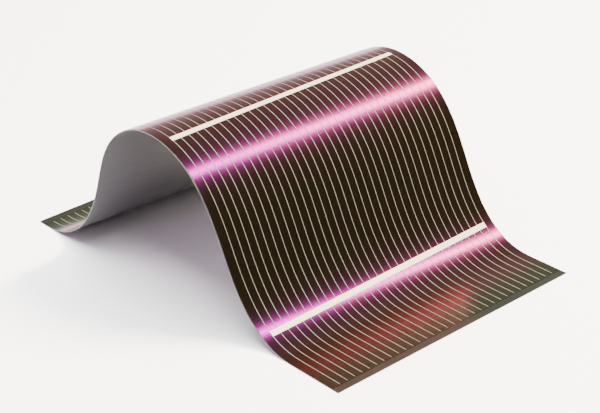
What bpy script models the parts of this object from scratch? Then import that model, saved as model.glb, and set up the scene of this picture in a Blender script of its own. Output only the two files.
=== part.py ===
"""A bare thin-film solar cell on steel foil, bent into a free-standing arch.

The sheet is one uncut foil. Four thin films lie on its upper face, silver finger tracks run along its length
on top of them, and three busbars cross the fingers. It is bent, never stretched: every bend is a cylinder
whose straight rulings run across the sheet, a few degrees off its short side.

Flat sheet coordinates: u runs along the length from the rear edge, v across the width from the middle, and
h is the height above the foil's upper face. World axes: +X towards the front edge, +Y across, +Z up.
"""

import math

import bmesh
import bpy
import numpy as np

MM = 0.001

# The sheet laid flat.
SHEET_LENGTH = 210 * MM
SHEET_WIDTH = 100 * MM
FOIL_THICKNESS = 0.127 * MM

# The films on the foil, from the foil up, and the clearance that each layer keeps to the one below.
LAYER_GAP = 0.01 * MM
BACK_CONTACT_THICKNESS = 0.02 * MM
ABSORBER_THICKNESS = 0.03 * MM
BUFFER_THICKNESS = 0.02 * MM
WINDOW_THICKNESS = 0.02 * MM
WINDOW_SIDE_INSET = 0.3 * MM
WINDOW_END_INSET = 2.6 * MM

# The printed grid: fingers along the length, busbars across it.
FINGER_COUNT = 32
FINGER_WIDTH = 0.25 * MM
FINGER_THICKNESS = 0.04 * MM
FINGER_SIDE_MARGIN = 3.5 * MM
FINGER_END_MARGIN = 3 * MM
BUSBAR_COUNT = 3
BUSBAR_WIDTH = 2 * MM
BUSBAR_THICKNESS = 0.05 * MM

# The stance, from the rear edge to the front edge. Each bend eases in, holds its radius and eases out.
RULING_SLANT = math.radians(3.14)
REAR_LIP = 7.2 * MM
REAR_HOLD = 27.5 * MM
REAR_EASE_OUT = 37 * MM
REAR_TURN = math.radians(77.5)
CREST_EASE_IN = 16.7 * MM
CREST_HOLD = 54.8 * MM
CREST_EASE_OUT = 26.5 * MM
FRONT_EASE_IN = 33.8 * MM
FRONT_HOLD = 3 * MM
FRONT_EASE_OUT = 10.2 * MM
FRONT_TURN = math.radians(68.9)
TOE_LENGTH = 15.4 * MM

# How finely the bends are cut into flat facets.
FACET_TURN = math.radians(9)
FACET_LENGTH = 30 * MM
CURVE_STEP = 0.1 * MM
LEVEL_HALVINGS = 40

STEEL = ((0.62, 0.62, 0.64), 0.35, 1.0)
MOLYBDENUM = ((0.42, 0.43, 0.45), 0.3, 1.0)
ABSORBER = ((0.02, 0.018, 0.02), 0.35, 0.0)
BUFFER = ((0.30, 0.28, 0.12), 0.3, 0.0)
WINDOW = ((0.05, 0.02, 0.045), 0.15, 0.3)
SILVER = ((0.80, 0.78, 0.72), 0.45, 0.8)


def bend(place, start, ease_in, hold, ease_out, turn):
    """Curvature at each place of one bend, as a trapezium whose area is the angle that the bend turns by."""
    peak = turn / (ease_in / 2 + hold + ease_out / 2)
    corners = np.cumsum((start, ease_in, hold, ease_out))
    return np.interp(place, corners, (0, peak, peak, 0))


def curvature(place, crest_start):
    """Curvature along the sheet, positive where it is hollow from above. The rear bend runs on past the lip."""
    rear_peak = REAR_TURN / (REAR_HOLD + REAR_EASE_OUT / 2)
    rear_end = REAR_LIP + REAR_HOLD
    rear = np.interp(place, (rear_end, rear_end + REAR_EASE_OUT), (rear_peak, 0))
    crest_turn = REAR_TURN + FRONT_TURN
    crest = bend(place, crest_start, CREST_EASE_IN, CREST_HOLD, CREST_EASE_OUT, crest_turn)
    front_start = SHEET_LENGTH - TOE_LENGTH - FRONT_EASE_OUT - FRONT_HOLD - FRONT_EASE_IN
    front = bend(place, front_start, FRONT_EASE_IN, FRONT_HOLD, FRONT_EASE_OUT, FRONT_TURN)
    return rear - crest + front


def running_sum(values, step):
    """Running integral of samples that are one step apart, by the trapezium rule."""
    return np.concatenate(((0,), np.cumsum((values[1:] + values[:-1]) * step / 2)))


def profile(place, crest_start):
    """The bent centre line as (x, z) at each place, with its flat toe at z = 0 and its front end at x = 0."""
    step = place[1] - place[0]
    heading = running_sum(curvature(place, crest_start), step)
    heading -= np.interp(SHEET_LENGTH, place, heading)
    x = running_sum(np.cos(heading), step)
    z = running_sum(np.sin(heading), step)
    return x - np.interp(SHEET_LENGTH, place, x), z - np.interp(SHEET_LENGTH, place, z)


def level_crest(place):
    """Where the crest has to start for the rear bend to rest at the toe's height, found by halving."""
    low, high = REAR_LIP, SHEET_LENGTH - TOE_LENGTH
    for _ in range(LEVEL_HALVINGS):
        middle = (low + high) / 2
        rear_height = np.interp(REAR_LIP, place, profile(place, middle)[1])
        low, high = (middle, high) if rear_height > 0 else (low, middle)
    return (low + high) / 2


def ruling_places(place, turning):
    """Where the rulings lie: no facet turns by more than FACET_TURN or is longer than FACET_LENGTH.

    The line that the rear bend rests on and the start of the flat toe are rulings too.
    """
    effort = running_sum(turning / FACET_TURN + 1 / FACET_LENGTH, place[1] - place[0])
    stops = (place[0], REAR_LIP, SHEET_LENGTH - TOE_LENGTH, place[-1])
    marks = np.interp(stops, place, effort)
    rulings = [marks[:1]]
    for first, last in zip(marks, marks[1:]):
        count = math.ceil(last - first)
        rulings.append(np.linspace(first, last, count + 1)[1:])
    return np.interp(np.concatenate(rulings), effort, place)


class Bending:
    """Takes points of the flat sheet to the bent one, as flat facets between rulings."""

    def __init__(self):
        overrun = SHEET_WIDTH / 2 * math.sin(RULING_SLANT) + CURVE_STEP
        samples = round((SHEET_LENGTH + 2 * overrun) / CURVE_STEP) + 1
        place = np.linspace(-overrun, SHEET_LENGTH + overrun, samples)
        crest_start = level_crest(place)
        x, z = profile(place, crest_start)
        self.rulings = ruling_places(place, np.abs(curvature(place, crest_start)))
        self.line = np.stack((np.interp(self.rulings, place, x), np.interp(self.rulings, place, z)))
        along = np.diff(self.line)
        along /= np.linalg.norm(along, axis=0)
        normal = np.stack((-along[1], along[0]))
        before = np.concatenate((normal[:, :1], normal), axis=1)
        after = np.concatenate((normal, normal[:, -1:]), axis=1)
        self.mitre = (before + after) / (1 + (before * after).sum(axis=0))

    def points(self, flat):
        """World-shaped points of flat ones: (u, v, h) rows in, (x, y, z) rows out."""
        cosine, sine = math.cos(RULING_SLANT), math.sin(RULING_SLANT)
        u, v, h = flat.T
        place = SHEET_LENGTH + (u - SHEET_LENGTH) * cosine - v * sine
        across = (u - SHEET_LENGTH) * sine + v * cosine
        along, up = (
            np.interp(place, self.rulings, line) + h * np.interp(place, self.rulings, mitre)
            for line, mitre in zip(self.line, self.mitre)
        )
        return np.stack((cosine * along + sine * across, cosine * across - sine * along, up), axis=1)


def material(name, look):
    """A Principled material from a (colour, roughness, metallic) look."""
    made = bpy.data.materials.new(name)
    made.use_nodes = True
    colour, roughness, metallic = look
    shader = made.node_tree.nodes["Principled BSDF"]
    shader.inputs["Base Color"].default_value = (*colour, 1)
    shader.inputs["Roughness"].default_value = roughness
    shader.inputs["Metallic"].default_value = metallic
    made.diffuse_color = (*colour, 1)
    return made


def plate(name, bending, u_span, v_span, h_span, finish):
    """One flat plate, cut along every ruling that crosses it and bent with the sheet."""
    low = np.array((u_span[0], v_span[0], h_span[0]))
    high = np.array((u_span[1], v_span[1], h_span[1]))
    shape = bmesh.new()
    bmesh.ops.create_cube(shape, size=1)
    bmesh.ops.scale(shape, vec=high - low, verts=shape.verts)
    bmesh.ops.translate(shape, vec=(low + high) / 2, verts=shape.verts)
    across_rulings = (math.cos(RULING_SLANT), -math.sin(RULING_SLANT), 0)
    for place in bending.rulings[1:-1]:
        on_ruling = (SHEET_LENGTH + (place - SHEET_LENGTH) / across_rulings[0], 0, 0)
        everything = shape.verts[:] + shape.edges[:] + shape.faces[:]
        bmesh.ops.bisect_plane(
            shape, geom=everything, dist=1e-7, plane_co=on_ruling, plane_no=across_rulings
        )
    mesh = bpy.data.meshes.new(name)
    shape.to_mesh(mesh)
    shape.free()
    flat = np.empty(len(mesh.vertices) * 3)
    mesh.vertices.foreach_get("co", flat)
    mesh.vertices.foreach_set("co", bending.points(flat.reshape(-1, 3)).ravel())
    mesh.materials.append(finish)
    mesh.update()
    made = bpy.data.objects.new(name, mesh)
    bpy.context.scene.collection.objects.link(made)
    return made


def foil(bending):
    """The steel carrier, below h = 0."""
    u_span = (0, SHEET_LENGTH)
    v_span = (-SHEET_WIDTH / 2, SHEET_WIDTH / 2)
    return plate("steel_foil", bending, u_span, v_span, (-FOIL_THICKNESS, 0), material("steel", STEEL))


def films(bending):
    """The films in the order that they are laid down, and the height of the top one's upper face."""
    stack = (
        ("back_contact_film", BACK_CONTACT_THICKNESS, 0, 0, MOLYBDENUM),
        ("absorber_film", ABSORBER_THICKNESS, 0, 0, ABSORBER),
        ("buffer_film", BUFFER_THICKNESS, 0, 0, BUFFER),
        ("window_film", WINDOW_THICKNESS, WINDOW_END_INSET, WINDOW_SIDE_INSET, WINDOW),
    )
    made = []
    top = 0
    for name, thickness, end_inset, side_inset, look in stack:
        u_span = (end_inset, SHEET_LENGTH - end_inset)
        v_span = (side_inset - SHEET_WIDTH / 2, SHEET_WIDTH / 2 - side_inset)
        h_span = (top + LAYER_GAP, top + LAYER_GAP + thickness)
        made.append(plate(name, bending, u_span, v_span, h_span, material(name, look)))
        top = h_span[1]
    return made, top


def fingers(bending, films_top, silver):
    """The long tracks, evenly spaced between the side margins, and the height of their upper faces."""
    u_span = (FINGER_END_MARGIN, SHEET_LENGTH - FINGER_END_MARGIN)
    outermost = SHEET_WIDTH / 2 - FINGER_SIDE_MARGIN
    h_span = (films_top + LAYER_GAP, films_top + LAYER_GAP + FINGER_THICKNESS)
    made = []
    for index, middle in enumerate(np.linspace(-outermost, outermost, FINGER_COUNT), start=1):
        v_span = (middle - FINGER_WIDTH / 2, middle + FINGER_WIDTH / 2)
        made.append(plate(f"finger_{index:02d}", bending, u_span, v_span, h_span, silver))
    return made, h_span[1]


def busbars(bending, fingers_top, silver):
    """The cross tracks, each in the middle of its share of the length, from the first finger to the last."""
    outermost = SHEET_WIDTH / 2 - FINGER_SIDE_MARGIN + FINGER_WIDTH / 2
    h_span = (fingers_top + LAYER_GAP, fingers_top + LAYER_GAP + BUSBAR_THICKNESS)
    made = []
    for index in range(BUSBAR_COUNT):
        middle = SHEET_LENGTH * (index + 0.5) / BUSBAR_COUNT
        u_span = (middle - BUSBAR_WIDTH / 2, middle + BUSBAR_WIDTH / 2)
        made.append(plate(f"busbar_{index + 1}", bending, u_span, (-outermost, outermost), h_span, silver))
    return made


def stand(pieces):
    """Parents the pieces to an empty that puts the middle of the arch's footprint at the world origin."""
    corners = np.concatenate([np.array([corner.co for corner in piece.data.vertices]) for piece in pieces])
    low, high = corners.min(axis=0), corners.max(axis=0)
    frame = bpy.data.objects.new("sheet_frame", None)
    frame.location = (-(low[0] + high[0]) / 2, -(low[1] + high[1]) / 2, -low[2])
    bpy.context.scene.collection.objects.link(frame)
    for piece in pieces:
        piece.parent = frame


def main():
    for old in list(bpy.data.objects):
        bpy.data.objects.remove(old, do_unlink=True)
    bending = Bending()
    silver = material("silver_print", SILVER)
    film_pieces, films_top = films(bending)
    finger_pieces, fingers_top = fingers(bending, films_top, silver)
    stand([foil(bending), *film_pieces, *finger_pieces, *busbars(bending, fingers_top, silver)])


main()
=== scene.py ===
"""Flexible solar sheet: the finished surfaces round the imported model.

The bare cell stands as an arch on a pale floor. Every surface is a smooth bent grid, worked out from the same
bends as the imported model. The finishes are rolled steel foil below, a dark film stack with an anti-reflection
film on top, and fired silver print.
"""

import math

import bpy
import numpy as np
from mathutils import Euler, Matrix, Vector


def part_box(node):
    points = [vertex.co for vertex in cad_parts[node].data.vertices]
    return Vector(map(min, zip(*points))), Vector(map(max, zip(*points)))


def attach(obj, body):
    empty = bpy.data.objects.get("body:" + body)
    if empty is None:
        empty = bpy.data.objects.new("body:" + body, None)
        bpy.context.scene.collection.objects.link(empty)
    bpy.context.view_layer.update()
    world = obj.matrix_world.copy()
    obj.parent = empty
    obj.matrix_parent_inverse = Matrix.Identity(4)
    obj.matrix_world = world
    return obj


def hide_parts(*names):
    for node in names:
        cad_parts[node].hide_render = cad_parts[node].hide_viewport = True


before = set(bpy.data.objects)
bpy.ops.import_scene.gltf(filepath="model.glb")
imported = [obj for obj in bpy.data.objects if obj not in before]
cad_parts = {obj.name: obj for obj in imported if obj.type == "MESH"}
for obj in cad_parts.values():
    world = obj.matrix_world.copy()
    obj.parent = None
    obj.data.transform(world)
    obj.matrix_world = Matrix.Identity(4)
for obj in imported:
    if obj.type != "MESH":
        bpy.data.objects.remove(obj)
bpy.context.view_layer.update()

bl_info = {
    "name": "Flexible solar sheet",
    "version": (1, 0, 0),
    "blender": (4, 5, 0),
    "location": "3D View > Sidebar > Solar sheet",
    "description": "Builds the bent foil, its films, its printed grid and a plain studio round them",
    "category": "Object",
}

BODY = "root"
FLAT_MAP = "flat_sheet"
MM = 0.001
ROLLING_GRAIN = (900, 12)  # rolling lines along and across the sheet
COATED_GRAIN = (1100, 9)
SILVER_GRAIN = (2400, 1200)
GRAIN_DEPTH = 0.01 * MM
GRAIN_RANGE = (0.3, 0.7)  # what the noise mostly stays between
END_ZONE = (0.443, 0.478)  # where the film thins, as shares of the length from the middle
END_WANDER = 0.03


def length_value(name, value, text):
    """A length property in metres."""
    return bpy.props.FloatProperty(name=name, description=text, default=value, unit="LENGTH", precision=5)


def angle_value(name, degrees, text):
    """An angle property, held in radians."""
    default = math.radians(degrees)
    return bpy.props.FloatProperty(name=name, description=text, default=default, unit="ROTATION")


def colour_value(name, value, text):
    """A linear colour property."""
    return bpy.props.FloatVectorProperty(
        name=name, description=text, default=value, subtype="COLOR", size=3, min=0, max=1
    )


def share_value(name, value, text):
    """A plain number property that has no unit."""
    return bpy.props.FloatProperty(name=name, description=text, default=value)


def direction_value(name, value, text):
    """A property that holds a direction."""
    return bpy.props.FloatVectorProperty(name=name, description=text, default=value, subtype="DIRECTION")


class SheetSizes(bpy.types.PropertyGroup):
    """The flat sheet, its layers and the stance that it is bent to."""

    length: length_value("Length", 210 * MM, "Length of the flat sheet, along the fingers")
    width: length_value("Width", 100 * MM, "Width of the flat sheet, along the busbars")
    foil: length_value("Foil", 0.127 * MM, "Thickness of the steel foil")
    layer_gap: length_value("Layer gap", 0.01 * MM, "Clearance between one layer and the next")
    back_contact: length_value("Back contact", 0.02 * MM, "Thickness of the back contact film")
    absorber: length_value("Absorber", 0.03 * MM, "Thickness of the absorber film")
    buffer: length_value("Buffer", 0.02 * MM, "Thickness of the buffer film")
    window: length_value("Window", 0.02 * MM, "Thickness of the transparent conducting film")
    side_inset: length_value("Side inset", 0.3 * MM, "Bare rim beside the window film, along the sides")
    end_inset: length_value("End inset", 2.6 * MM, "Bare rim beyond the window film, at the sheet's ends")
    slant: angle_value("Ruling slant", 3.14, "Angle between the bends' rulings and the sheet's short side")
    rear_lip: length_value("Rear lip", 7.2 * MM, "Sheet behind the line that the rear bend rests on")
    rear_hold: length_value("Rear hold", 27.5 * MM, "Rear bend at full curvature, from its resting line")
    rear_ease_out: length_value("Rear ease out", 37 * MM, "Rear bend straightening into the rear leg")
    rear_turn: angle_value("Rear turn", 77.5, "Steepness of the rear leg")
    crest_ease_in: length_value("Crest ease in", 16.7 * MM, "Crest tightening from the rear leg")
    crest_hold: length_value("Crest hold", 54.8 * MM, "Crest at full curvature")
    crest_ease_out: length_value("Crest ease out", 26.5 * MM, "Crest straightening into the front leg")
    front_ease_in: length_value("Front ease in", 33.8 * MM, "Front bend tightening from the front leg")
    front_hold: length_value("Front hold", 3 * MM, "Front bend at full curvature")
    front_ease_out: length_value("Front ease out", 10.2 * MM, "Front bend straightening into the toe")
    front_turn: angle_value("Front turn", 68.9, "Steepness of the front leg")
    toe: length_value("Toe", 15.4 * MM, "Flat strip behind the front edge")
    grid_step: length_value("Grid step", 0.75 * MM, "Spacing of the bent grids along the sheet")


class PrintSizes(bpy.types.PropertyGroup):
    """The silver grid on the films."""

    fingers: bpy.props.IntProperty(name="Fingers", description="Number of finger tracks", default=32)
    finger_width: length_value("Finger width", 0.25 * MM, "Width of a finger track")
    finger_height: length_value("Finger height", 0.04 * MM, "Height of a finger track's crown")
    side_margin: length_value("Side margin", 3.5 * MM, "From the side edge to the first finger's middle")
    end_margin: length_value("End margin", 3 * MM, "From the short edge to the fingers' ends")
    busbars: bpy.props.IntProperty(name="Busbars", description="Number of cross tracks", default=3)
    busbar_width: length_value("Busbar width", 2 * MM, "Width of a cross track")
    busbar_height: length_value("Busbar height", 0.05 * MM, "Height of a cross track's crown")
    edge_waver: share_value("Edge waver", 0.05, "How far a finger's edge wavers, as a share of its width")
    fall_away: share_value("Fall away", 0.45, "How far a finger's sides drop below its crown, as a share")


class Finishes(bpy.types.PropertyGroup):
    """Colours and surface values of the materials."""

    absorber_colour: colour_value("Absorber", (0.0022, 0.0036, 0.0005), "Dark body colour under the window")
    absorber_tint: colour_value("Absorber tint", (0.0045, 0.0022, 0.0012), "Second body colour, in stripes")
    film_tint: colour_value("Film tint", (0.95, 0.58, 1), "Tint of the coated face's gloss")
    end_tint: colour_value("End tint", (0.5, 0.85, 0.85), "Tint of the gloss where the film thins out")
    film_index: share_value("Film index", 1.58, "Refractive index of the anti-reflection film")
    film_nanometres: share_value("Film thickness", 89, "Thickness of the anti-reflection film in nanometres")
    stack_index: share_value("Stack index", 2.4, "Refractive index of what the film lies on")
    film_roughness: share_value("Film roughness", 0.163, "Roughness of the coated face")
    film_anisotropy: share_value("Film anisotropy", 0.74, "How far highlights spread along the sheet")
    steel_colour: colour_value("Steel", (0.23, 0.228, 0.235), "Colour of the bare foil")
    steel_roughness: share_value("Steel roughness", 0.5, "Roughness of the bare foil")
    silver_colour: colour_value("Silver", (0.50, 0.43, 0.33), "Colour of the busbars' fired paste")
    finger_colour: colour_value("Finger silver", (0.095, 0.094, 0.076), "Colour of the fingers' paste")
    contact_colour: colour_value("Back contact", (0.3, 0.3, 0.32), "Colour of the back contact film")
    rim_colour: colour_value("Rim", (0.0042, 0.0055, 0.0035), "Colour of the bare rim of the buffer film")


class StageSizes(bpy.types.PropertyGroup):
    """The floor, the lights and the camera."""

    floor_side: length_value("Floor side", 12, "Side of the square floor")
    floor_colour: colour_value("Floor", (0.84, 0.84, 0.85), "Colour of the floor")
    key_direction: direction_value("Key direction", (0.297, 0.532, 0.793), "Towards the strip light")
    key_axis: direction_value("Key axis", (-0.38, 0.88, -0.25), "Along the strip light's long side")
    key_distance: length_value("Key distance", 1.3, "Distance of the strip light")
    key_width: length_value("Key width", 0.125, "Width of the strip light")
    key_length: length_value("Key length", 0.5, "Length of the strip light")
    key_power: share_value("Key power", 90, "Power of the strip light in watts")
    key_colour: colour_value("Key colour", (1, 0.88, 0.57), "Colour of the strip light")
    top_direction: direction_value("Top direction", (0.05, 0.14, 0.95), "Towards the large softbox")
    top_distance: length_value("Top distance", 1.4, "Distance of the large softbox")
    top_side: length_value("Top side", 1.6, "Side of the large softbox")
    top_power: share_value("Top power", 128, "Power of the large softbox in watts")
    backdrop: share_value("Backdrop", 1.5, "Brightness of the pale side of the studio")
    horizon: share_value("Horizon", 10, "Brightness of the pale side of the studio near the floor")
    horizon_top: share_value("Horizon top", 0.15, "How high the brighter band reaches, as a rise")
    pale_colour: colour_value("Pale side", (1, 1, 0.85), "Colour of the pale side of the studio")
    side_colour: colour_value("Upper side", (0.9, 0.7, 0.95), "Colour between the pale side and overhead")
    upper_colour: colour_value("Overhead", (0.75, 0.4, 0.85), "Colour of the studio overhead")
    edge_colour: colour_value("Edge", (0.6, 0.3, 0.7), "Colour beside the unlit side of the studio")
    dark_side: share_value("Dark side", 0.05, "Brightness of the unlit side of the studio")
    card_direction: direction_value("Card direction", (0.87, 0.49, 0), "Towards the black card")
    card_distance: length_value("Card distance", 0.17, "Distance of the black card")
    card_width: length_value("Card width", 0.5, "Width of the black card")
    card_height: length_value("Card height", 0.14, "Height of the black card")
    lens: share_value("Lens", 101.34, "Focal length in millimetres on a 36 mm sensor")
    camera_place: bpy.props.FloatVectorProperty(
        name="Camera place",
        description="Where the camera stands",
        default=(0.38835, -0.31830, 0.27637),
        subtype="TRANSLATION",
        unit="LENGTH",
    )
    camera_turn: bpy.props.FloatVectorProperty(
        name="Camera turn",
        description="How the camera is turned",
        default=(math.radians(62.500), math.radians(2.263), math.radians(49.133)),
        subtype="EULER",
    )


# The bent sheet


def running_sum(values, step):
    """Running integral of evenly spaced samples, by the trapezium rule."""
    return np.concatenate(((0,), np.cumsum((values[1:] + values[:-1]) * step / 2)))


def bend(place, start, ease_in, hold, ease_out, turn):
    """Curvature of one bend: a trapezium over the place, whose area is the angle that it turns by."""
    peak = turn / (ease_in / 2 + hold + ease_out / 2)
    return np.interp(place, np.cumsum((start, ease_in, hold, ease_out)), (0, peak, peak, 0))


class Bending:
    """Takes points of the flat sheet, (u, v, height), to the bent one.

    A general cylinder: the place along the bend is u turned by the slant, the heading is the running
    integral of the curvature, and the centre line is the running integral of the heading's cosine and sine.
    A point at a height lies that far along the normal. The crest's start is halved in on, so that both feet
    are level.
    """

    STEP = 0.05 * MM
    HALVINGS = 40
    PRINT_RISE = 0.03 * MM

    def __init__(self, sizes):
        self.sizes = sizes
        overrun = sizes.width / 2 * math.sin(sizes.slant) + self.STEP
        count = round((sizes.length + 2 * overrun) / self.STEP) + 1
        self.place = np.linspace(-overrun, sizes.length + overrun, count)
        low, high = sizes.rear_lip, sizes.length - sizes.toe
        for _ in range(self.HALVINGS):
            middle = (low + high) / 2
            self.bend_with(middle)
            above = np.interp(sizes.rear_lip, self.place, self.z) > 0
            low, high = (middle, high) if above else (low, middle)
        self.scale, self.shift = np.ones(3), np.zeros(3)
        self.scale, self.shift = self.frame_fit()

    def bend_with(self, crest_start):
        """Works out heading, x and z for one place of the crest."""
        s = self.sizes
        step = self.place[1] - self.place[0]
        rear_end = s.rear_lip + s.rear_hold
        rear_peak = s.rear_turn / (s.rear_hold + s.rear_ease_out / 2)
        curvature = np.interp(self.place, (rear_end, rear_end + s.rear_ease_out), (rear_peak, 0))
        crest = (crest_start, s.crest_ease_in, s.crest_hold, s.crest_ease_out, s.rear_turn + s.front_turn)
        curvature -= bend(self.place, *crest)
        front_start = s.length - s.toe - s.front_ease_out - s.front_hold - s.front_ease_in
        front = (front_start, s.front_ease_in, s.front_hold, s.front_ease_out, s.front_turn)
        curvature += bend(self.place, *front)
        heading = running_sum(curvature, step)
        self.heading = heading - np.interp(s.length, self.place, heading)
        x, z = running_sum(np.cos(self.heading), step), running_sum(np.sin(self.heading), step)
        self.x = x - np.interp(s.length, self.place, x)
        self.z = z - np.interp(s.length, self.place, z)

    def points(self, u, v, height):
        """World points of flat ones, for arrays of one shape."""
        s = self.sizes
        cosine, sine = math.cos(s.slant), math.sin(s.slant)
        place = s.length + (u - s.length) * cosine - v * sine
        across = (u - s.length) * sine + v * cosine
        heading = np.interp(place, self.place, self.heading)
        along = np.interp(place, self.place, self.x) - height * np.sin(heading)
        up = np.interp(place, self.place, self.z) + height * np.cos(heading)
        bent = np.stack((cosine * along + sine * across, cosine * across - sine * along, up), axis=-1)
        return bent * self.scale + self.shift

    def frame_fit(self):
        """Scale, close to one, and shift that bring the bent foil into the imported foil's box."""
        s = self.sizes
        place = (np.linspace(0, s.length, 2001), (-s.width / 2, s.width / 2), (-s.foil, 0))
        foil = self.points(*np.meshgrid(*place, indexing="ij")).reshape(-1, 3)
        low, high = (np.array(corner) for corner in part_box("steel_foil"))
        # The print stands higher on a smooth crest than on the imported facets.
        high[2] -= self.PRINT_RISE
        scale = (high - low) / (foil.max(axis=0) - foil.min(axis=0))
        return scale, low - foil.min(axis=0) * scale


def layer_heights(sizes):
    """Lower and upper height of each layer over the foil's upper face, by name."""
    heights = {"steel_foil": (-sizes.foil, 0)}
    top = 0
    for name in ("back_contact", "absorber", "buffer", "window"):
        bottom = top + sizes.layer_gap
        top = bottom + getattr(sizes, name)
        heights[name] = (bottom, top)
    return heights


def steps(start, end, step):
    """Evenly spaced values from start to end, at most one step apart."""
    return np.linspace(start, end, max(2, math.ceil((end - start) / step) + 1))


def shell_faces(rows, columns):
    """Quads of a closed shell: an upper grid, a lower one, and a wall round their shared outline."""
    upper = np.arange(rows * columns).reshape(rows, columns)
    lower = upper + rows * columns
    top = np.stack((upper[:-1, :-1], upper[1:, :-1], upper[1:, 1:], upper[:-1, 1:]), axis=-1)
    bottom = np.stack((lower[:-1, :-1], lower[:-1, 1:], lower[1:, 1:], lower[1:, :-1]), axis=-1)
    rim = np.concatenate((upper[:, 0], upper[-1, 1:], upper[-2::-1, -1], upper[0, -2::-1]))
    below = rim + rows * columns
    wall = np.stack((rim[:-1], below[:-1], below[1:], rim[1:]), axis=-1)
    return np.concatenate((top.reshape(-1, 4), bottom.reshape(-1, 4), wall))


def shell(name, bending, u, v, upper, lower, finish):
    """A closed piece between two bent grids: every array has a row for each u and a column for each v.

    Each vertex is the flat point (u, v, height) taken through the bend, once with the upper height and once
    with the lower one. The flat map holds u and v as shares of the sheet.
    """
    sizes = bending.sizes
    rows, columns = u.shape
    points = np.concatenate([bending.points(u, v, height).reshape(-1, 3) for height in (upper, lower)])
    faces = shell_faces(rows, columns)
    mesh = bpy.data.meshes.new(name)
    mesh.vertices.add(len(points))
    mesh.vertices.foreach_set("co", points.ravel())
    mesh.loops.add(faces.size)
    mesh.loops.foreach_set("vertex_index", faces.ravel())
    mesh.polygons.add(len(faces))
    mesh.polygons.foreach_set("loop_start", np.arange(0, faces.size, 4))
    flat = np.stack((u / sizes.length, v / sizes.width + 0.5), axis=-1).reshape(-1, 2)
    flat = np.concatenate((flat, flat))[faces.ravel()]
    mesh.uv_layers.new(name=FLAT_MAP).data.foreach_set("uv", flat.ravel())
    mesh.update(calc_edges=True)
    mesh.shade_smooth()
    mesh.set_sharp_from_angle(angle=math.radians(50))
    mesh.materials.append(finish)
    piece = bpy.data.objects.new(name, mesh)
    bpy.context.scene.collection.objects.link(piece)
    return piece


def settle(piece, node):
    """The piece rides on the sheet's one body and stands for its node, whose imported part is hidden."""
    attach(piece, BODY)
    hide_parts(node)


# Finishes


def new_material(name):
    """An empty node material with its Principled shader and output."""
    made = bpy.data.materials.new(name)
    made.use_nodes = True
    shader = made.node_tree.nodes["Principled BSDF"]
    return made, made.node_tree, shader


def add_node(tree, kind, **values):
    """A node with its properties set."""
    node = tree.nodes.new(kind)
    for key, value in values.items():
        setattr(node, key, value)
    return node


def flat_coordinates(tree, scale):
    """The flat map scaled from shares of the sheet by (along, across)."""
    source = add_node(tree, "ShaderNodeUVMap", uv_map=FLAT_MAP)
    mapping = add_node(tree, "ShaderNodeMapping")
    mapping.inputs["Scale"].default_value = (*scale, 1)
    tree.links.new(source.outputs["UV"], mapping.inputs["Vector"])
    return mapping.outputs["Vector"]


def shaded(colour, share):
    """A colour darkened to a share of itself."""
    return tuple(channel * share for channel in colour)


def mix_colour(tree, factor, first, second):
    """A blend of two colours by a factor socket."""
    mix = add_node(tree, "ShaderNodeMix", data_type="RGBA")
    mix.inputs["A"].default_value = (*first, 1)
    mix.inputs["B"].default_value = (*second, 1)
    tree.links.new(factor, mix.inputs["Factor"])
    return mix.outputs["Result"]


def map_range(tree, value, source, target):
    """A value socket taken from one range to another."""
    node = add_node(tree, "ShaderNodeMapRange")
    for key, number in zip(("From Min", "From Max", "To Min", "To Max"), (*source, *target)):
        node.inputs[key].default_value = number
    tree.links.new(value, node.inputs["Value"])
    return node.outputs["Result"]


def rolling_lines_group():
    """Node group: the fine lines that rolling leaves across a foil, as a height and as a mask."""
    if "rolling_lines" in bpy.data.node_groups:
        return bpy.data.node_groups["rolling_lines"]
    group = bpy.data.node_groups.new("rolling_lines", "ShaderNodeTree")
    group.interface.new_socket("Vector", in_out="INPUT", socket_type="NodeSocketVector")
    group.interface.new_socket("Height", in_out="OUTPUT", socket_type="NodeSocketFloat")
    group.interface.new_socket("Mask", in_out="OUTPUT", socket_type="NodeSocketFloat")
    entry = group.nodes.new("NodeGroupInput")
    leave = group.nodes.new("NodeGroupOutput")
    fine = add_node(group, "ShaderNodeTexNoise")
    fine.inputs["Scale"].default_value = 1
    fine.inputs["Detail"].default_value = 3
    fine.inputs["Roughness"].default_value = 0.6
    group.links.new(entry.outputs["Vector"], fine.inputs["Vector"])
    broad = add_node(group, "ShaderNodeTexNoise")
    broad.inputs["Scale"].default_value = 0.13
    broad.inputs["Detail"].default_value = 2
    group.links.new(entry.outputs["Vector"], broad.inputs["Vector"])
    group.links.new(fine.outputs["Fac"], leave.inputs["Height"])
    group.links.new(broad.outputs["Fac"], leave.inputs["Mask"])
    return group


def rolling_lines(tree, scale):
    """Places the rolling lines group, and gives its height and mask sockets."""
    node = add_node(tree, "ShaderNodeGroup", node_tree=rolling_lines_group())
    tree.links.new(flat_coordinates(tree, scale), node.inputs["Vector"])
    return node.outputs["Height"], node.outputs["Mask"]


def bump(tree, shader, height, strength):
    """Feeds a height socket to the shader's normal."""
    node = add_node(tree, "ShaderNodeBump")
    node.inputs["Strength"].default_value = strength
    node.inputs["Distance"].default_value = GRAIN_DEPTH
    tree.links.new(height, node.inputs["Height"])
    tree.links.new(node.outputs["Normal"], shader.inputs["Normal"])


def steel_finish(looks):
    """Bare rolled steel foil: satin metal with lines across the sheet."""
    made, tree, shader = new_material("rolled_steel")
    height, mask = rolling_lines(tree, ROLLING_GRAIN)
    colour = mix_colour(tree, mask, looks.steel_colour, shaded(looks.steel_colour, 0.86))
    tree.links.new(colour, shader.inputs["Base Color"])
    shader.inputs["Metallic"].default_value = 1
    spread = (looks.steel_roughness - 0.05, looks.steel_roughness + 0.05)
    tree.links.new(map_range(tree, height, GRAIN_RANGE, spread), shader.inputs["Roughness"])
    bump(tree, shader, height, 0.25)
    return made


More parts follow.
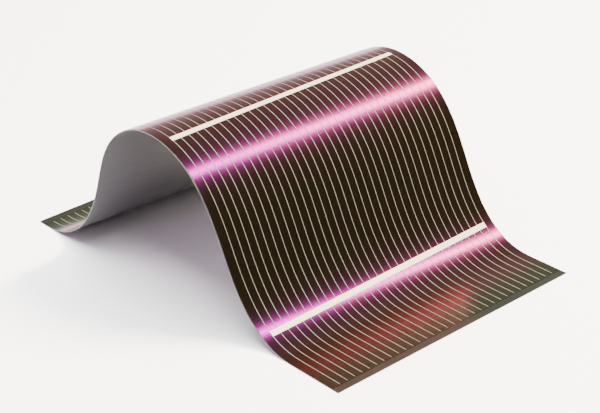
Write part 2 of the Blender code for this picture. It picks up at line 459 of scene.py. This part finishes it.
def dark_film_finish(name, colour):
    """A plain dark film, seen only at its edge."""
    made, tree, shader = new_material(name)
    height, mask = rolling_lines(tree, ROLLING_GRAIN)
    tree.links.new(mix_colour(tree, mask, colour, shaded(colour, 0.7)), shader.inputs["Base Color"])
    shader.inputs["Roughness"].default_value = 0.45
    shader.inputs["Specular IOR Level"].default_value = 0.2
    bump(tree, shader, height, 0.15)
    return made


def end_mask(tree):
    """0 over most of the sheet and 1 at its ends: the distance to the middle, with a wandering edge."""
    source = add_node(tree, "ShaderNodeUVMap", uv_map=FLAT_MAP)
    parts = add_node(tree, "ShaderNodeSeparateXYZ")
    tree.links.new(source.outputs["UV"], parts.inputs["Vector"])
    wander = add_node(tree, "ShaderNodeTexNoise")
    wander.inputs["Scale"].default_value = 3
    tree.links.new(source.outputs["UV"], wander.inputs["Vector"])
    centred = add_node(tree, "ShaderNodeMath", operation="SUBTRACT")
    centred.inputs[1].default_value = 0.5
    tree.links.new(parts.outputs["X"], centred.inputs[0])
    distance = add_node(tree, "ShaderNodeMath", operation="ABSOLUTE")
    tree.links.new(centred.outputs["Value"], distance.inputs[0])
    moved = add_node(tree, "ShaderNodeMath", operation="MULTIPLY_ADD")
    moved.inputs[1].default_value = END_WANDER
    tree.links.new(wander.outputs["Fac"], moved.inputs[0])
    tree.links.new(distance.outputs["Value"], moved.inputs[2])
    return map_range(tree, moved.outputs["Value"], END_ZONE, (0, 1))


def coated_finish(looks):
    """The sun side: a dark stack under an anti-reflection film that gives the gloss its colours."""
    made, tree, shader = new_material("coated_face")
    height, mask = rolling_lines(tree, COATED_GRAIN)
    colour = mix_colour(tree, mask, looks.absorber_colour, looks.absorber_tint)
    tree.links.new(colour, shader.inputs["Base Color"])
    shader.inputs["IOR"].default_value = looks.stack_index
    shader.inputs["Thin Film Thickness"].default_value = looks.film_nanometres
    shader.inputs["Thin Film IOR"].default_value = looks.film_index
    shader.inputs["Anisotropic"].default_value = looks.film_anisotropy
    tint = mix_colour(tree, end_mask(tree), looks.film_tint, looks.end_tint)
    tree.links.new(tint, shader.inputs["Specular Tint"])
    spread = (looks.film_roughness - 0.02, looks.film_roughness + 0.02)
    tree.links.new(map_range(tree, height, GRAIN_RANGE, spread), shader.inputs["Roughness"])
    along = add_node(tree, "ShaderNodeTangent", direction_type="UV_MAP", uv_map=FLAT_MAP)
    tree.links.new(along.outputs["Tangent"], shader.inputs["Tangent"])
    bump(tree, shader, height, 0.2)
    return made


def silver_finish(name, colour):
    """Fired silver paste: pale, matt and finely grained."""
    made, tree, shader = new_material(name)
    grain = add_node(tree, "ShaderNodeTexNoise")
    grain.inputs["Scale"].default_value = 1
    grain.inputs["Detail"].default_value = 4
    tree.links.new(flat_coordinates(tree, SILVER_GRAIN), grain.inputs["Vector"])
    mixed = mix_colour(tree, grain.outputs["Fac"], colour, shaded(colour, 0.8))
    tree.links.new(mixed, shader.inputs["Base Color"])
    shader.inputs["Metallic"].default_value = 0.1
    shader.inputs["Roughness"].default_value = 0.6
    bump(tree, shader, grain.outputs["Fac"], 0.3)
    return made


# Operators


class OBJECT_OT_solar_foil(bpy.types.Operator):
    """Build the bare steel foil"""

    bl_idname = "object.solar_foil"
    bl_label = "Steel foil"

    def execute(self, context):
        sizes = context.scene.solar_sheet
        bending = Bending(sizes)
        half = sizes.width / 2
        flat = np.meshgrid(
            steps(0, sizes.length, sizes.grid_step), steps(-half, half, 4 * MM), indexing="ij"
        )
        low, high = layer_heights(sizes)["steel_foil"]
        foil = shell("foil", bending, *flat, high, low, steel_finish(context.scene.solar_finish))
        settle(foil, "steel_foil")
        return {"FINISHED"}


class OBJECT_OT_solar_films(bpy.types.Operator):
    """Build the four films on the foil"""

    bl_idname = "object.solar_films"
    bl_label = "Films"

    def execute(self, context):
        sizes, looks = context.scene.solar_sheet, context.scene.solar_finish
        bending = Bending(sizes)
        finishes = {
            "back_contact": dark_film_finish("back_contact", looks.contact_colour),
            "absorber": dark_film_finish("absorber", looks.absorber_colour),
            "buffer": dark_film_finish("buffer", looks.rim_colour),
            "window": coated_finish(looks),
        }
        heights = layer_heights(sizes)
        for name, finish in finishes.items():
            side_inset, end_inset = (sizes.side_inset, sizes.end_inset) if name == "window" else (0, 0)
            half = sizes.width / 2 - side_inset
            u = steps(end_inset, sizes.length - end_inset, sizes.grid_step)
            flat = np.meshgrid(u, steps(-half, half, 4 * MM), indexing="ij")
            low, high = heights[name]
            piece = shell(f"{name}_layer", bending, *flat, high, low, finish)
            settle(piece, f"{name}_film")
        return {"FINISHED"}


class OBJECT_OT_solar_fingers(bpy.types.Operator):
    """Build the finger tracks"""

    bl_idname = "object.solar_fingers"
    bl_label = "Fingers"

    def execute(self, context):
        sizes, tracks = context.scene.solar_sheet, context.scene.solar_print
        bending = Bending(sizes)
        silver = silver_finish("finger_silver", context.scene.solar_finish.finger_colour)
        bottom = layer_heights(sizes)["window"][1]
        crown = bottom + sizes.layer_gap + tracks.finger_height
        outermost = sizes.width / 2 - tracks.side_margin
        u = steps(tracks.end_margin, sizes.length - tracks.end_margin, sizes.grid_step)[:, None]
        side = np.linspace(-1, 1, 5)[None, :]
        for index, middle in enumerate(np.linspace(-outermost, outermost, tracks.fingers), start=1):
            # Half width: the finger's own, wavering as three sines of the length, rounded off at both ends.
            waver = sum(np.sin(u / MM * pace + index * pace) for pace in (1.9, 0.83, 0.31)) / 3
            from_end = np.minimum(u - u[0], u[-1] - u)
            rounding = np.sqrt(np.clip(from_end / tracks.finger_width, 0.08, 1))
            half = tracks.finger_width / 2 * (1 + tracks.edge_waver * waver) * rounding
            v = middle + half * side
            upper = crown - tracks.finger_height * tracks.fall_away * side**2 * np.ones_like(u)
            flat_u = np.broadcast_to(u, v.shape)
            finger = shell(f"silver_finger_{index:02d}", bending, flat_u, v, upper, bottom, silver)
            settle(finger, f"finger_{index:02d}")
        return {"FINISHED"}


class OBJECT_OT_solar_busbars(bpy.types.Operator):
    """Build the cross tracks"""

    bl_idname = "object.solar_busbars"
    bl_label = "Busbars"

    def execute(self, context):
        sizes, tracks = context.scene.solar_sheet, context.scene.solar_print
        bending = Bending(sizes)
        silver = silver_finish("busbar_silver", context.scene.solar_finish.silver_colour)
        bottom = layer_heights(sizes)["window"][1]
        fingers_top = bottom + sizes.layer_gap + tracks.finger_height
        crown = fingers_top + sizes.layer_gap + tracks.busbar_height
        outermost = sizes.width / 2 - tracks.side_margin + tracks.finger_width / 2
        pitch = (sizes.width - 2 * tracks.side_margin) / (tracks.fingers - 1)
        for index in range(tracks.busbars):
            middle = sizes.length * (index + 0.5) / tracks.busbars
            side = np.linspace(-1, 1, 11)[:, None]
            v = steps(-outermost, outermost, 0.3 * MM)[None, :]
            u = middle + tracks.busbar_width / 2 * side * np.ones_like(v)
            # Height: a low crown across the track, lifted where it runs over a finger every pitch.
            over = np.exp(-(((v + outermost + pitch / 2) % pitch - pitch / 2) / tracks.finger_width) ** 2)
            drop = tracks.busbar_height * 0.35 * side**4 + tracks.finger_height * 0.5 * (1 - over)
            upper = crown - drop
            busbar = shell(f"silver_busbar_{index + 1}", bending, u, v + 0 * u, upper, bottom, silver)
            settle(busbar, f"busbar_{index + 1}")
        return {"FINISHED"}


class OBJECT_OT_solar_stage(bpy.types.Operator):
    """Build the floor, the studio light and the camera"""

    bl_idname = "object.solar_stage"
    bl_label = "Stage"

    def execute(self, context):
        stage = context.scene.solar_stage
        self.floor(context.scene, stage)
        self.studio(context.scene, stage)
        self.lights(context.scene, stage)
        self.black_card(context.scene, stage)
        self.camera(context.scene, stage)
        return {"FINISHED"}

    def floor(self, scene, stage):
        """A plain pale square under the sheet."""
        half = stage.floor_side / 2
        corners = [(-half, -half, 0), (half, -half, 0), (half, half, 0), (-half, half, 0)]
        mesh = bpy.data.meshes.new("floor")
        mesh.from_pydata(corners, [], [(0, 1, 2, 3)])
        made, _, shader = new_material("pale_floor")
        shader.inputs["Base Color"].default_value = (*stage.floor_colour, 1)
        shader.inputs["Roughness"].default_value = 0.6
        shader.inputs["Specular IOR Level"].default_value = 0.2
        mesh.materials.append(made)
        floor = bpy.data.objects.new("floor", mesh)
        scene.collection.objects.link(floor)

    def studio(self, scene, stage):
        """A world that is pale towards -X, tinted overhead and unlit towards +X, with a bright low band."""
        world = bpy.data.worlds.new("studio")
        world.use_nodes = True
        tree = world.node_tree
        shine = tree.nodes["Background"]
        coordinates = add_node(tree, "ShaderNodeTexCoord")
        parts = add_node(tree, "ShaderNodeSeparateXYZ")
        tree.links.new(coordinates.outputs["Generated"], parts.inputs["Vector"])
        colours = add_node(tree, "ShaderNodeValToRGB")
        stops = (
            (0.20, stage.pale_colour),
            (0.40, stage.side_colour),
            (0.50, stage.upper_colour),
            (0.62, stage.edge_colour),
            (0.67, (stage.dark_side,) * 3),
        )
        ramp = colours.color_ramp
        while len(ramp.elements) < len(stops):
            ramp.elements.new(1)
        for element, (position, colour) in zip(ramp.elements, stops):
            element.position = position
            element.color = (*colour, 1)
        across = map_range(tree, parts.outputs["X"], (-1, 1), (0, 1))
        tree.links.new(across, colours.inputs["Fac"])
        tree.links.new(colours.outputs["Color"], shine.inputs["Color"])
        band = (0, stage.horizon_top)
        strength = map_range(tree, parts.outputs["Z"], band, (stage.horizon, stage.backdrop))
        tree.links.new(strength, shine.inputs["Strength"])
        scene.world = world

    def softbox(self, scene, name, place, long_axis, sides):
        """A rectangular light that faces the sheet, with its long side the given way."""
        light = bpy.data.lights.new(name, "AREA")
        light.shape = "RECTANGLE"
        light.size, light.size_y = sides
        lamp = bpy.data.objects.new(name, light)
        away = place.normalized()
        across = long_axis.cross(away).normalized()
        turn = Matrix((across, away.cross(across), away)).transposed()
        lamp.matrix_world = Matrix.Translation(place) @ turn.to_4x4()
        scene.collection.objects.link(lamp)
        return lamp

    def lights(self, scene, stage):
        """A strip, which shows as the bright band on each bend, and a large softbox kept out of gloss."""
        place = Vector(stage.key_direction).normalized() * stage.key_distance
        sides = (stage.key_width, stage.key_length)
        strip = self.softbox(scene, "strip_light", place, Vector(stage.key_axis), sides)
        strip.data.energy = stage.key_power
        strip.data.color = stage.key_colour
        place = Vector(stage.top_direction).normalized() * stage.top_distance
        sides = (stage.top_side, stage.top_side)
        top = self.softbox(scene, "top_light", place, Vector((0, 1, 0)), sides)
        top.data.energy = stage.top_power
        top.visible_glossy = False

    def black_card(self, scene, stage):
        """A black card before the front leg, seen only in gloss, that keeps the leg dark."""
        facing = Vector(stage.card_direction).normalized()
        side = Vector((-facing.y, facing.x, 0)) * stage.card_width / 2
        foot, top = facing * stage.card_distance, Vector((0, 0, stage.card_height))
        corners = [foot - side, foot + side, foot + side + top, foot - side + top]
        mesh = bpy.data.meshes.new("black_card")
        mesh.from_pydata(corners, [], [(0, 1, 2, 3)])
        made, _, shader = new_material("black_card")
        shader.inputs["Base Color"].default_value = (0.01, 0.01, 0.01, 1)
        shader.inputs["Roughness"].default_value = 0.9
        mesh.materials.append(made)
        card = bpy.data.objects.new("black_card", mesh)
        card.visible_camera = False
        card.visible_diffuse = False
        card.visible_shadow = False
        scene.collection.objects.link(card)

    def camera(self, scene, stage):
        """A long lens, looking down on the front and the near side."""
        data = bpy.data.cameras.new("camera")
        data.lens = stage.lens
        data.clip_start = 0.01
        camera = bpy.data.objects.new("camera", data)
        camera.location = stage.camera_place
        camera.rotation_euler = Euler(stage.camera_turn)
        scene.collection.objects.link(camera)
        scene.camera = camera


class VIEW3D_PT_solar_sheet(bpy.types.Panel):
    """Lists the builders in the sidebar"""

    bl_label = "Solar sheet"
    bl_space_type = "VIEW_3D"
    bl_region_type = "UI"
    bl_category = "Solar sheet"

    def draw(self, context):
        for operator in OPERATORS:
            self.layout.operator(operator.bl_idname)


GROUPS = {
    "solar_sheet": SheetSizes,
    "solar_print": PrintSizes,
    "solar_finish": Finishes,
    "solar_stage": StageSizes,
}
OPERATORS = (
    OBJECT_OT_solar_foil,
    OBJECT_OT_solar_films,
    OBJECT_OT_solar_fingers,
    OBJECT_OT_solar_busbars,
    OBJECT_OT_solar_stage,
)


def register():
    for made in (*GROUPS.values(), *OPERATORS, VIEW3D_PT_solar_sheet):
        bpy.utils.register_class(made)
    for name, group in GROUPS.items():
        setattr(bpy.types.Scene, name, bpy.props.PointerProperty(type=group))


def unregister():
    for name in GROUPS:
        delattr(bpy.types.Scene, name)
    for made in (VIEW3D_PT_solar_sheet, *reversed(OPERATORS), *reversed(GROUPS.values())):
        bpy.utils.unregister_class(made)


def main():
    register()
    bpy.ops.object.solar_foil()
    bpy.ops.object.solar_films()
    bpy.ops.object.solar_fingers()
    bpy.ops.object.solar_busbars()
    bpy.ops.object.solar_stage()


if __name__ == "__main__":
    main()
